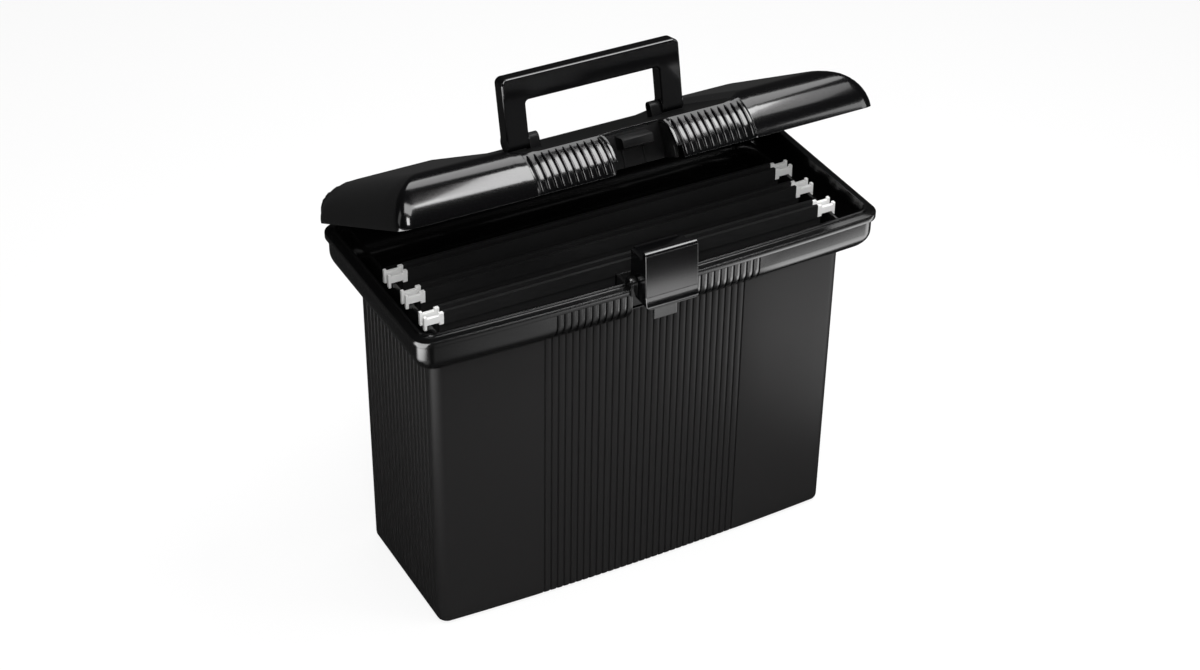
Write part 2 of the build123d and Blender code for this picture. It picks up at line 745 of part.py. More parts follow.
def rod_tips(rod_y):
    # A pair of tips: a flare at the hem, a slim bridge over the rail and a lug outside the rail.
    flare_outer = tip_inner + tip_flare_length
    with BuildPart() as tips:
        with BuildSketch(Plane.XZ.offset(-rod_y)) as tip_face:
            with Locations(((tip_inner + tip_half) / 2, tip_middle)):
                Rectangle(tip_half - tip_inner, tip_middle_height)
            with Locations(((tip_inner + flare_outer) / 2, tip_middle)):
                Rectangle(tip_flare_length, tip_flare_height)
            with Locations(((lug_inner + tip_half) / 2, tip_low - tip_lug_drop)):
                Rectangle(
                    tip_lug_length,
                    tip_lug_drop + tip_middle_height + tip_lug_rise,
                    align=(Align.CENTER, Align.MIN),
                )
            mirror(about=Plane.YZ)
        extrude(amount=tip_thickness / 2, both=True)
        with BuildSketch(Plane.XZ.offset(-rod_y)):
            with Locations((0, tip_middle)):
                Rectangle(2 * (rod_end + rod_slack), rod_neck_height + 2 * rod_slack)
        extrude(amount=rod_thickness / 2 + rod_slack, both=True, mode=Mode.SUBTRACT)
    return tips.part


for folder_name, middle_y in folder_middles.items():
    with BuildPart() as sheet:
        add(folder_sheet(middle_y))
    sheet.part.label = f"{folder_name}_folder_sheet"
    export_step(sheet.part, f"parts/{sheet.part.label}.step")
    for rod_name, rod_side in (("front", -1), ("back", 1)):
        rod_y = middle_y + rod_side * rod_half_spacing
        with BuildPart() as rod:
            add(folder_rod(rod_y))
        rod.part.label = f"{folder_name}_folder_{rod_name}_rod"
        export_step(rod.part, f"parts/{rod.part.label}.step")
        with BuildPart() as tips:
            add(rod_tips(rod_y))
        tips.part.label = f"{folder_name}_folder_{rod_name}_tips"
        export_step(tips.part, f"parts/{tips.part.label}.step")
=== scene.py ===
import json
from math import asin, cos, pi, radians, sin, sqrt, tan

import bmesh
import bpy
from mathutils import Matrix, Vector


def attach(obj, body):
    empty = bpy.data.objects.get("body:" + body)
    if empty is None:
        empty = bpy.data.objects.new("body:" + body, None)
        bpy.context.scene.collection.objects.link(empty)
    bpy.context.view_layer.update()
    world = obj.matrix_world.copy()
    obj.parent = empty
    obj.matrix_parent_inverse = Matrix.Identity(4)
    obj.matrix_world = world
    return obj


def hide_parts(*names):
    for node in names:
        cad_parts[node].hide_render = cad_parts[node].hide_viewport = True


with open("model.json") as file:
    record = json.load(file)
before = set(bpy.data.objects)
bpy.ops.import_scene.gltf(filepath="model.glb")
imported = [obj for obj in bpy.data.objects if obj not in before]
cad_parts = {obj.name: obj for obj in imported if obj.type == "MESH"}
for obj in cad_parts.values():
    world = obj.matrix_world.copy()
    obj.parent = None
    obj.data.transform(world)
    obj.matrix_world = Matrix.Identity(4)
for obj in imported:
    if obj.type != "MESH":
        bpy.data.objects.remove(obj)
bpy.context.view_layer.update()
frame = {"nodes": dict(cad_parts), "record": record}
mm = 0.001


# Small tools for meshes

def newMesh(name, points, faces):
    # points are in millimetres, in the box's own frame
    mesh = bpy.data.meshes.new(name)
    mesh.from_pydata([Vector(p) * mm for p in points], [], faces)
    piece = bpy.data.objects.new(name, mesh)
    bpy.context.scene.collection.objects.link(piece)
    return piece


def tidyMesh(piece, mergeBy):
    # merges points that lie together and turns every face outward
    bm = bmesh.new()
    bm.from_mesh(piece.data)
    bmesh.ops.remove_doubles(bm, verts=bm.verts, dist=mergeBy)
    bmesh.ops.recalc_face_normals(bm, faces=bm.faces)
    bm.to_mesh(piece.data)
    bm.free()


def smoothBy(piece, angle):
    # soft shading, with hard edges only where faces meet at more than the angle
    bm = bmesh.new()
    bm.from_mesh(piece.data)
    for face in bm.faces:
        face.smooth = True
    for edge in bm.edges:
        if len(edge.link_faces) == 2:
            edge.smooth = edge.calc_face_angle() < radians(angle)
    bm.to_mesh(piece.data)
    bm.free()


def bakeModifiers(piece):
    # turns live modifiers into plain mesh
    depsgraph = bpy.context.evaluated_depsgraph_get()
    plain = bpy.data.meshes.new_from_object(piece.evaluated_get(depsgraph))
    piece.modifiers.clear()
    piece.data = plain


def bevelEdges(piece, width, segments=2, angle=35, clamp=True):
    bevel = piece.modifiers.new("bevel", "BEVEL")
    bevel.width = width * mm
    bevel.segments = segments
    bevel.limit_method = "ANGLE"
    bevel.angle_limit = radians(angle)
    bevel.use_clamp_overlap = clamp
    bakeModifiers(piece)


def cutBox(name, low, high):
    (x0, y0, z0), (x1, y1, z1) = low, high
    points = [(x, y, z) for x in (x0, x1) for y in (y0, y1) for z in (z0, z1)]
    faces = [(0, 1, 3, 2), (4, 6, 7, 5), (0, 4, 5, 1), (2, 3, 7, 6), (0, 2, 6, 4), (1, 5, 7, 3)]
    return newMesh(name, points, faces)


def carve(piece, *cutters):
    for cutter in cutters:
        cut = piece.modifiers.new("cut", "BOOLEAN")
        cut.operation = "DIFFERENCE"
        cut.solver = "EXACT"
        cut.object = cutter
    bakeModifiers(piece)
    for cutter in cutters:
        bpy.data.objects.remove(cutter)


def dress(piece, body, material, *nodes):
    # gives a finished piece its material and body, and hides the nodes that it stands for
    piece.data.materials.clear()
    piece.data.materials.append(material)
    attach(piece, body)
    if nodes:
        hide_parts(*nodes)


def refined(node, width, segments=2, shape=None, clamp=True):
    # a merged copy of a CAD piece, shaped further if asked, with its sharp edges rounded off
    mesh = frame["nodes"][node].data.copy()
    mesh.name = node + "_dressed"
    piece = bpy.data.objects.new(mesh.name, mesh)
    bpy.context.scene.collection.objects.link(piece)
    bm = bmesh.new()
    bm.from_mesh(mesh)
    bmesh.ops.remove_doubles(bm, verts=bm.verts, dist=0.000005)
    bmesh.ops.dissolve_limit(bm, angle_limit=radians(1.5), verts=bm.verts, edges=bm.edges)
    if shape:
        shape(bm)
    bm.to_mesh(mesh)
    bm.free()
    bevelEdges(piece, width, segments, clamp=clamp)
    smoothBy(piece, angle=32)
    # flat faces keep flat shading next to their rounded edges
    flat = piece.modifiers.new("flat", "WEIGHTED_NORMAL")
    flat.keep_sharp = True
    bakeModifiers(piece)
    return piece


# Materials

def setInputs(tree, node, values):
    # each value is another node's socket to join, or a plain number or colour
    for key, value in values.items():
        if isinstance(value, bpy.types.NodeSocket):
            tree.links.new(value, node.inputs[key])
        else:
            node.inputs[key].default_value = value


def addNode(tree, kind, values=None, **settings):
    node = tree.nodes.new(kind)
    for name, setting in settings.items():
        setattr(node, name, setting)
    setInputs(tree, node, values or {})
    return node


def mathNode(tree, operation, *values, clamp=False):
    node = addNode(tree, "ShaderNodeMath", dict(enumerate(values)), operation=operation, use_clamp=clamp)
    return node.outputs[0]


def newMaterial(name):
    material = bpy.data.materials.new(name)
    material.use_nodes = True
    return material, material.node_tree, material.node_tree.nodes["Principled BSDF"]


def surfaceGroup():
    # fine moulded grain, faint cloudiness and rubbed edges, shared by every moulded piece
    group = bpy.data.node_groups.new("mouldedSurface", "ShaderNodeTree")
    for name, kind, value in (
        ("Plastic Color", "NodeSocketColor", (0.02, 0.02, 0.02, 1)),
        ("Rubbed Color", "NodeSocketColor", (0.06, 0.06, 0.06, 1)),
        ("Gloss Roughness", "NodeSocketFloat", 0.3),
        ("Grain Size", "NodeSocketFloat", 900.0),
        ("Cloudiness", "NodeSocketFloat", 0.15),
        ("Edge Wear", "NodeSocketFloat", 0.4),
    ):
        socket = group.interface.new_socket(name=name, in_out="INPUT", socket_type=kind)
        socket.default_value = value
    for name, kind in (
        ("Color", "NodeSocketColor"), ("Roughness", "NodeSocketFloat"), ("Height", "NodeSocketFloat"),
    ):
        group.interface.new_socket(name=name, in_out="OUTPUT", socket_type=kind)
    given = addNode(group, "NodeGroupInput").outputs
    place = addNode(group, "ShaderNodeTexCoord").outputs["Object"]
    grain = addNode(group, "ShaderNodeTexNoise", {"Vector": place, "Scale": given["Grain Size"], "Detail": 3})
    clouds = addNode(group, "ShaderNodeTexNoise", {"Vector": place, "Scale": 14, "Detail": 4}).outputs["Fac"]

    # roughness = base * (1 + cloudiness * (clouds - 0.5))
    centred = mathNode(group, "SUBTRACT", clouds, 0.5)
    share = mathNode(group, "MULTIPLY_ADD", centred, given["Cloudiness"], 1.0)
    rough = mathNode(group, "MULTIPLY", given["Gloss Roughness"], share, clamp=True)

    # rubbed edges: the sharpest convex edges, broken up by the clouds
    pointiness = addNode(group, "ShaderNodeNewGeometry").outputs["Pointiness"]
    edges = addNode(group, "ShaderNodeMapRange", {"Value": pointiness, "From Min": 0.53, "From Max": 0.66})
    wear = mathNode(group, "MULTIPLY", edges.outputs["Result"], clouds)
    amount = mathNode(group, "MULTIPLY", wear, given["Edge Wear"], clamp=True)
    tint = addNode(group, "ShaderNodeMix", {
        "Factor": amount, "A": given["Plastic Color"], "B": given["Rubbed Color"],
    }, data_type="RGBA")
    addNode(group, "NodeGroupOutput", {
        "Color": tint.outputs["Result"], "Roughness": rough, "Height": grain.outputs["Fac"],
    })
    return group


mouldedSurface = surfaceGroup()


def mouldedPlastic(name, look):
    material, tree, shader = newMaterial(name)
    surface = addNode(tree, "ShaderNodeGroup", {
        "Plastic Color": (*look["color"], 1), "Rubbed Color": (*look["rubbed"], 1),
        "Gloss Roughness": look["roughness"], "Grain Size": look["grainSize"],
        "Cloudiness": look["cloudiness"], "Edge Wear": look["wear"],
    }, node_tree=mouldedSurface).outputs
    bump = addNode(tree, "ShaderNodeBump", {
        "Strength": look["grainStrength"], "Distance": look["grainHeight"] * mm, "Height": surface["Height"],
    })
    setInputs(tree, shader, {
        "IOR": look["ior"], "Coat Weight": look["coat"], "Coat Roughness": look["coatRoughness"],
        "Base Color": surface["Color"], "Roughness": surface["Roughness"], "Normal": bump.outputs["Normal"],
    })
    return material


tubLook = {
    "color": (0.014, 0.0136, 0.0137), "rubbed": (0.04, 0.04, 0.04), "roughness": 0.4, "ior": 1.2,
    "coat": 0.0, "coatRoughness": 0.1, "grainSize": 1400, "cloudiness": 0.25, "wear": 0.5,
    "grainStrength": 0.16, "grainHeight": 0.05,
}
collarLook = {
    "color": (0.0025, 0.0025, 0.0026), "rubbed": (0.04, 0.04, 0.04), "roughness": 0.2, "ior": 1.48,
    "coat": 0.15, "coatRoughness": 0.12, "grainSize": 1100, "cloudiness": 0.25, "wear": 0.6,
    "grainStrength": 0.06, "grainHeight": 0.04,
}
glossLook = {
    "color": (0.0015, 0.0015, 0.0017), "rubbed": (0.03, 0.03, 0.03), "roughness": 0.15, "ior": 1.5,
    "coat": 0.3, "coatRoughness": 0.06, "grainSize": 700, "cloudiness": 0.3, "wear": 0.4,
    "grainStrength": 0.02, "grainHeight": 0.03,
}
tipLook = {
    "color": (0.95, 0.95, 0.94), "rubbed": (0.8, 0.8, 0.78), "roughness": 0.38, "ior": 1.46,
    "coat": 0.0, "coatRoughness": 0.1, "grainSize": 1800, "cloudiness": 0.2, "wear": 0.3,
    "grainStrength": 0.06, "grainHeight": 0.03,
}
# the recess and trough plastic is rougher and less reflective than the shell: partly a real matte finish,
# partly painted shade in the lid's recess and trough
recessShadeLook = {
    "color": (0.0016, 0.0016, 0.0017), "rubbed": (0.006, 0.006, 0.006), "roughness": 0.42, "ior": 1.25,
    "coat": 0.0, "coatRoughness": 0.1, "grainSize": 1300, "cloudiness": 0.25, "wear": 0.4,
    "grainStrength": 0.12, "grainHeight": 0.04,
}
tubPlastic = mouldedPlastic("tubPlastic", tubLook)
recessShadePlastic = mouldedPlastic("recessShadePlastic", recessShadeLook)
collarPlastic = mouldedPlastic("collarPlastic", collarLook)
glossPlastic = mouldedPlastic("glossPlastic", glossLook)
tipPlastic = mouldedPlastic("tipPlastic", tipLook)

# folder card has short fibres along the sheet; the steel rods are brushed along their length
cardLook = {
    "dark": (0.003, 0.003, 0.0031), "light": (0.009, 0.009, 0.0094), "size": 900.0, "stretch": 6.0,
    "detail": 5, "roughness": 0.62, "spread": 0.1, "metallic": 0.0, "specular": 0.45,
    "bump": 0.35, "bumpHeight": 0.06,
}
steelLook = {
    "dark": (0.32, 0.32, 0.33), "light": (0.5, 0.5, 0.51), "size": 500.0, "stretch": 25.0,
    "detail": 2, "roughness": 0.35, "spread": 0.08, "metallic": 1.0, "specular": 0.5,
    "bump": 0.0, "bumpHeight": 0.0,
}


def streakedSurface(name, look):
    # streaks along the box's width, in two tones
    material, tree, shader = newMaterial(name)
    place = addNode(tree, "ShaderNodeTexCoord").outputs["Object"]
    along = addNode(tree, "ShaderNodeMapping", {"Vector": place, "Scale": (1 / look["stretch"], 1, 1)})
    streaks = addNode(tree, "ShaderNodeTexNoise", {
        "Vector": along.outputs[0], "Scale": look["size"], "Detail": look["detail"],
    }).outputs["Fac"]
    tone = addNode(tree, "ShaderNodeMix", {
        "Factor": streaks, "A": (*look["dark"], 1), "B": (*look["light"], 1),
    }, data_type="RGBA")
    low, high = look["roughness"] - look["spread"], look["roughness"] + look["spread"]
    rough = addNode(tree, "ShaderNodeMapRange", {"Value": streaks, "To Min": low, "To Max": high})
    setInputs(tree, shader, {
        "Metallic": look["metallic"], "Specular IOR Level": look["specular"],
        "Base Color": tone.outputs["Result"], "Roughness": rough.outputs["Result"],
    })
    if look["bump"]:
        bump = addNode(tree, "ShaderNodeBump", {
            "Strength": look["bump"], "Distance": look["bumpHeight"] * mm, "Height": streaks,
        })
        setInputs(tree, shader, {"Normal": bump.outputs["Normal"]})
    return material


folderCard = streakedSurface("folderCard", cardLook)
rodSteel = streakedSurface("rodSteel", steelLook)
print("materials made")


# Camera, floor and light

cameraLook = {
    "place": (-709.63, -1300.9, 1186.99), "yaw": 28.59, "pitch": 34.59, "roll": 0.74, "lens": 75.0,
}


def addCamera(look):
    data = bpy.data.cameras.new("camera")
    data.sensor_fit = "HORIZONTAL"
    data.sensor_width = 36
    data.lens = look["lens"]
    data.clip_end = 20
    camera = bpy.data.objects.new("camera", data)
    bpy.context.scene.collection.objects.link(camera)
    yaw, pitch, roll = radians(look["yaw"]), radians(look["pitch"]), radians(look["roll"])
    ahead = Vector((sin(yaw) * cos(pitch), cos(yaw) * cos(pitch), -sin(pitch)))
    right = Vector((cos(yaw), -sin(yaw), 0))
    up = right.cross(ahead)
    rolledRight = cos(roll) * right + sin(roll) * up
    rolledUp = cos(roll) * up - sin(roll) * right
    turn = Matrix((rolledRight, rolledUp, -ahead)).transposed().to_4x4()
    camera.matrix_world = Matrix.Translation(Vector(look["place"]) * mm) @ turn
    bpy.context.scene.camera = camera


addCamera(cameraLook)
bpy.context.scene.view_settings.view_transform = "Standard"

# the room is dimmer in black gloss than it is as light
worldLook = {"asLight": 0.14, "inGloss": 0.02}


def addWorld(look):
    world = bpy.data.worlds.new("studio")
    bpy.context.scene.world = world
    world.use_nodes = True
    tree = world.node_tree
    path = addNode(tree, "ShaderNodeLightPath").outputs
    room = addNode(tree, "ShaderNodeMapRange", {
        "Value": path["Is Glossy Ray"], "To Min": look["asLight"], "To Max": look["inGloss"],
    })
    background = tree.nodes["Background"]
    setInputs(tree, background, {"Color": (1, 1, 1, 1), "Strength": room.outputs["Result"]})
    seen = addNode(tree, "ShaderNodeBackground", {"Color": (1, 1, 1, 1), "Strength": 1})
    mix = addNode(tree, "ShaderNodeMixShader", {
        "Fac": path["Is Camera Ray"], 1: background.outputs[0], 2: seen.outputs[0],
    })
    setInputs(tree, tree.nodes["World Output"], {"Surface": mix.outputs[0]})


addWorld(worldLook)


# the floor's size and drop are in millimetres; glossy rays see it painted nearly black, with painted
# reflections
# that only black gloss mirrors: glowing patches, in metres: (x from, x to, y from, y to, soft edge, strength)
floorLook = {
    "size": 6000, "drop": 0.2,
    "color": 0.9, "white": 0.83, "roughness": 0.8, "specular": 0.2, "inGloss": 0.04,
    "paintedReflections": (
        (-0.05, 1.0, -0.5, -0.22, 0.1, 0.7), (0.22, 1.0, -0.34, -0.14, 0.04, 4.0),
        (0.1, 0.27, -0.53, -0.4, 0.05, 2.5), (0.2, 1.1, -1.75, -1.2, 0.08, 5.0),
        (-0.6, -0.25, -0.35, -0.12, 0.06, 0.8), (-2.2, -0.45, -2.4, 0.1, 0.1, 9.0),
    ),
}


def paintedReflectionSum(tree, place, look):
    # adds up the soft-edged patches of painted reflection at a place on the floor, over the floor's dark base
    # in gloss
    total = look["inGloss"]
    for left, right, front, back, soft, strength in look["paintedReflections"]:
        value = None
        for axis, start, end in (
            ("X", left - soft, left + soft), ("X", right + soft, right - soft),
            ("Y", front - soft, front + soft), ("Y", back + soft, back - soft),
        ):
            edge = addNode(tree, "ShaderNodeMapRange", {
                "Value": place[axis], "From Min": start, "From Max": end,
            }, interpolation_type="SMOOTHSTEP").outputs["Result"]
            value = edge if value is None else mathNode(tree, "MULTIPLY", value, edge)
        total = mathNode(tree, "MULTIPLY_ADD", value, strength, total)
    return total


def addFloor(look):
    # a pale floor that the camera sees nearly white, with the box's soft shadow left on it; glossy rays see
    # painted reflections on it instead
    size, low = look["size"], -look["drop"]
    points = [(-size, -size, low), (size, -size, low), (size, size, low), (-size, size, low)]
    floor = newMesh("floor", points, [(0, 1, 2, 3)])
    material, tree, shader = newMaterial("paleFloor")
    setInputs(tree, shader, {
        "Base Color": (look["color"], look["color"], look["color"], 1),
        "Roughness": look["roughness"], "Specular IOR Level": look["specular"],
    })
    coords = addNode(tree, "ShaderNodeTexCoord").outputs["Object"]
    place = addNode(tree, "ShaderNodeSeparateXYZ", {0: coords}).outputs
    # painted reflections: the floor glows in these patches, for glossy rays only
    paintedReflectionGlow = addNode(tree, "ShaderNodeEmission", {"Strength": paintedReflectionSum(tree, place, look)})
    white = addNode(tree, "ShaderNodeEmission", {"Strength": 1})
    path = addNode(tree, "ShaderNodeLightPath").outputs
    share = mathNode(tree, "MULTIPLY", path["Is Camera Ray"], look["white"])
    seen = addNode(tree, "ShaderNodeMixShader", {"Fac": share, 1: shader.outputs[0], 2: white.outputs[0]})
    mix = addNode(tree, "ShaderNodeMixShader", {
        "Fac": path["Is Glossy Ray"], 1: seen.outputs[0], 2: paintedReflectionGlow.outputs[0],
    })
    setInputs(tree, tree.nodes["Material Output"], {"Surface": mix.outputs[0]})
    floor.data.materials.append(material)


addFloor(floorLook)

# each lamp: its place, what it points at, its width and height (all in metres), and its watts
lampLook = {
    "topLight": ((-0.4, -0.6, 2.2), (0, 0, 0.2), 1.6, 0.9, 26),
    "keyLight": ((-1.1, -2.0, 2.1), (0, 0, 0.2), 1.0, 1.0, 40),
    "lidStrip": ((0.265, -0.165, 1.05), (-0.03, -0.1, 0.35), 0.53, 0.37, 6.2),
    "lidFade": ((0.3, 0.5, 1.05), (-0.03, 0.05, 0.35), 0.8, 0.4, 3.0),
    "lidRight": ((0.53, -0.1, 1.05), (0.13, -0.05, 0.35), 0.4, 0.2, 0.6),
    "leftLight": ((-2.0, 0.3, 1.0), (0, 0, 0.2), 0.6, 1.2, 2),
    "rightLight": ((1.8, -1.6, 1.0), (0, 0, 0.2), 0.8, 1.2, 10),
}


def softbox(name, place, target, width, height, power):
    data = bpy.data.lights.new(name, "AREA")
    data.shape = "RECTANGLE"
    data.size = width
    data.size_y = height
    data.energy = power
    lamp = bpy.data.objects.new(name, data)
    bpy.context.scene.collection.objects.link(lamp)
    lamp.location = place
    aim = Vector(target) - Vector(place)
    lamp.rotation_euler = aim.to_track_quat("-Z", "Y").to_euler()


for name, values in lampLook.items():
    softbox(name, *values)
print("camera, floor and lights placed")


# The tub: a ribbed box with a rounded collar, a lip and a thin ridge that the lid closes over

tubForm = {
    "halfWidth": 159.3, "halfDepth": 60.25, "draftX": 0.9, "draftY": 1.5, "bow": 4.85, "corner": 8.0,
    "bottomRadius": 4.0, "wall": 2.5, "floor": 3.0,
    "collarBase": 231.0, "collarRise": 16.3, "flareX": 16.3, "flareY": 17.9, "collarCorner": 10.0,
    "lipBase": 258.0, "lipTop": 262.9, "lipOut": 2.5, "ridgeIn": 5.5, "ridgeWidth": 2.0, "ridgeTop": 265.0,
    "frontPitch": 5.23, "frontGrooves": 31, "frontDepth": 1.25, "frontPlain": (84, 100, 120, 140),
    "sidePitch": 6.0, "sideGrooves": 17, "sideDepth": 0.5, "grooveHalf": 0.75,
    "pocketHalf": 22.0, "gapHalf": 26.3, "cutFront": -130.0, "cutTop": 300.0,
    "railThickness": 2.5, "railTop": 253.0, "tuck": 1.2, "seatGap": 0.3,
    "earInner": 20.4, "earWidth": 5.1, "earRadius": 4.5, "pivotY": -84.0, "pivotZ": 266.5,
    "hingeY": 87.0, "hingeZ": 263.2, "hingeSpacing": 220.0, "knuckle": 22.0, "hingeEar": 7.0, "barrel": 4.5,
    "sideGap": 0.4, "footSteps": 5, "plateSteps": 8, "cornerSteps": 8, "collarSteps": 14, "edge": 0.35,
}


def quarter(steps):
    # a quarter turn in equal steps, in radians
    return [radians(90 * step / steps) for step in range(steps + 1)]


def ribSamples(count, pitch, half):
    # places across a ribbed panel, each with its share of the groove's depth; the ribs are slightly crowned
    samples = []
    for index in range(count):
        middle = (index - (count - 1) / 2) * pitch
        groove = ((-1, 0.2), (-0.6, 1.0), (0.6, 1.0), (1, 0.2))
        samples += [(middle + half * out, share) for out, share in groove]
        if index < count - 1:
            samples.append((middle + half * 2, 0.05))
            samples += [(middle + pitch / 2, 0.0), (middle + pitch - half * 2, 0.05)]
    return samples


def tubRing(form, halfWidth, halfDepth, corner, level, frontShare=0.0, sideShare=0.0):
    # one closed ring of points round the tub, seen from above, starting at the left end of the bowed front
    arc = (halfWidth ** 2 + form["bow"] ** 2) / (2 * form["bow"])

    def frontAt(x):
        return -halfDepth - form["bow"] + arc - sqrt(arc * arc - x * x)

    innerX = halfWidth - corner
    frontSamples = ribSamples(form["frontGrooves"], form["frontPitch"], form["grooveHalf"])
    frontSamples += [(side * x, 0.0) for side in (-1, 1) for x in form["frontPlain"]]
    sideSamples = ribSamples(form["sideGrooves"], form["sidePitch"], form["grooveHalf"])
    points = []
    for x, share in sorted(frontSamples):
        points.append((x, frontAt(x) + form["frontDepth"] * share * frontShare, level))
    turns = quarter(form["cornerSteps"])
    frontCornerY = frontAt(innerX) + corner
    backCornerY = halfDepth - corner
    points += [(innerX + corner * sin(t), frontCornerY - corner * cos(t), level) for t in turns]
    side = halfWidth
    points += [(side - form["sideDepth"] * share * sideShare, y, level) for y, share in sideSamples]
    points += [(innerX + corner * cos(t), backCornerY + corner * sin(t), level) for t in turns]
    points += [(x, halfDepth, level) for x in (100, 50, 0, -50, -100)]
    points += [(-innerX - corner * sin(t), backCornerY + corner * cos(t), level) for t in turns]
    points += [(form["sideDepth"] * share * sideShare - side, y, level) for y, share in reversed(sideSamples)]
    points += [(-innerX - corner * cos(t), frontCornerY - corner * sin(t), level) for t in turns]
    return points


def tubRings(form):
    # the tub's section as rings: up the outside, over the lip and the ridge, and down the inside
    rings = []
    wallX, wallY, corner = form["halfWidth"], form["halfDepth"], form["corner"]
    topX, topY = wallX + form["draftX"], wallY + form["draftY"]
    foot = form["bottomRadius"]
    for t in quarter(form["footSteps"]):
        back = foot * (1 - sin(t))
        rings.append(tubRing(
            form, wallX - back, wallY - back, corner - back, foot * (1 - cos(t)), sin(t), 0
        ))
    for level, sideShare in ((9, 0), (13, 1), (60, 1), (120, 1), (180, 1), (222, 1), (226, 0), (230.6, 0)):
        share = level / form["collarBase"]
        rings.append(tubRing(
            form, wallX + form["draftX"] * share, wallY + form["draftY"] * share, corner, level, 1, sideShare
        ))
    for t in quarter(form["collarSteps"]):
        rings.append(tubRing(
            form, topX + form["flareX"] * sin(t), topY + form["flareY"] * sin(t),
            corner + (form["collarCorner"] - corner) * sin(t),
            form["collarBase"] + form["collarRise"] * (1 - cos(t)), 1 if t > 0 else 0.6, 0,
        ))
    bandX, bandY = topX + form["flareX"], topY + form["flareY"]
    lipX, lipY = bandX + form["lipOut"], bandY + form["lipOut"]
    base, top, ridge = form["lipBase"], form["lipTop"], form["ridgeTop"]
    mouth = form["ridgeIn"] + form["ridgeWidth"]
    # (how far in from the lip's edge, level, corner radius, share of the ribs)
    section = [
        (2.5, base - 2.4, 10, 1), (2.5, base - 1.0, 10, 0), (2.5, base - 0.1, 10, 0), (0.5, base, 11.6, 0),
        (0.15, base + 0.15, 12, 0), (0, base + 0.5, 12, 0), (0, top - 0.7, 12, 0), (0.2, top - 0.2, 11.8, 0),
        (0.7, top, 11.5, 0), (5.1, top, 10.4, 0), (5.4, top + 0.15, 10, 0), (5.5, top + 0.4, 10, 0),
        (5.5, ridge - 0.5, 10, 0), (5.65, ridge - 0.15, 10, 0), (6.0, ridge, 9.5, 0), (7.0, ridge, 8.5, 0),
        (7.35, ridge - 0.15, 8.2, 0), (mouth, ridge - 0.5, 8, 0), (mouth, base - 0.6, 8, 0),
        (mouth, base - 1, 8, 0), (5.0, base - 1, 10, 0),
    ]
    for inset, level, radius, share in section:
        rings.append(tubRing(form, lipX - inset, lipY - inset, radius, level, share, 0))
    innerFlareX, innerFlareY = form["flareX"] - form["wall"], form["flareY"] - form["wall"]
    innerRise = form["collarRise"] - form["wall"]
    for t in quarter(form["collarSteps"])[::-2]:
        rings.append(tubRing(
            form, topX + innerFlareX * sin(t), topY + innerFlareY * sin(t),
            corner + (form["collarCorner"] - corner) * sin(t),
            form["collarBase"] + form["collarRise"] - innerRise * cos(t),
        ))
    inside = corner - form["wall"]
    mouthBase, floor = form["collarBase"], form["floor"]
    # (level, how far in from the wall)
    down = ((mouthBase + 2.5, 0), (mouthBase, 0), (120, 0), (floor + 3, 0), (floor + 0.8, 0.7), (floor, 2.8))
    for level, inset in down:
        share = min(level, mouthBase) / mouthBase
        rings.append(tubRing(
            form, wallX - form["wall"] + form["draftX"] * share - inset,
            wallY - form["wall"] + form["draftY"] * share - inset, inside - inset * 0.8, level,
        ))
    return rings


def plateAcross(name, outline, low, high):
    # a plate cut to an outline seen from the side (y, z), between two places across the box
    count = len(outline)
    points = [(low, y, z) for y, z in outline] + [(high, y, z) for y, z in outline]
    faces = [tuple(range(count)), tuple(range(2 * count - 1, count - 1, -1))]
    faces += [(i, i + count, (i + 1) % count + count, (i + 1) % count) for i in range(count)]
    piece = newMesh(name, points, faces)
    tidyMesh(piece, mergeBy=0.000002)
    return piece


def platePair(name, outline, inner, outer):
    # the same plate on the left and on the right
    return [plateAcross(name, outline, *sorted((side * inner, side * outer))) for side in (-1, 1)]


def plateRow(name, outline, middles, width):
    # the same plate at several places across the box
    return [plateAcross(name, outline, middle - width / 2, middle + width / 2) for middle in middles]


def softened(pieces, width):
    for piece in pieces:
        bevelEdges(piece, width, angle=40)
        smoothBy(piece, angle=35)
    return pieces


def arcPoints(y, z, radius, start, end, steps=12):
    turns = [radians(start + (end - start) * step / steps) for step in range(steps + 1)]
    return [(y + radius * cos(t), z + radius * sin(t)) for t in turns]


def joined(name, pieces):
    # one mesh out of several finished ones
    bm = bmesh.new()
    for piece in pieces:
        bm.from_mesh(piece.data)
    mesh = bpy.data.meshes.new(name)
    bm.to_mesh(mesh)
    bm.free()
    for piece in pieces:
        bpy.data.objects.remove(piece)
    whole = bpy.data.objects.new(name, mesh)
    bpy.context.scene.collection.objects.link(whole)
    return whole


def tubShell(form):
    rings = tubRings(form)
    count = len(rings[0])
    points = [point for ring in rings for point in ring]
    faces = [tuple(range(count - 1, -1, -1)), tuple((len(rings) - 1) * count + i for i in range(count))]
    for level in range(len(rings) - 1):
        start = level * count
        for i in range(count):
            after = (i + 1) % count
            faces.append((start + i, start + after, start + count + after, start + count + i))
    piece = newMesh("tubShell", points, faces)
    tidyMesh(piece, mergeBy=0.000002)
    pocket, gap, front, top = form["pocketHalf"], form["gapHalf"], form["cutFront"], form["cutTop"]
    back = -form["halfDepth"] - form["draftY"] - form["bow"]
    carve(
        piece,
        cutBox("pocketCut", (-pocket, front, form["collarBase"]), (pocket, back, top)),
        cutBox("gapCut", (-gap, front, form["lipTop"] + 0.01), (gap, back, top)),
    )
    smoothBy(piece, angle=30)
    return piece


def collarInside(form, start, side):
    # the collar's curve seen from the side, a little in from its outer face
    reach, rise = form["flareY"] - form["tuck"], form["collarRise"] - form["tuck"]
    top = form["collarBase"] + form["collarRise"]
    turns = quarter(form["plateSteps"])
    return [(start + side * reach * sin(t), top - rise * cos(t)) for t in turns]


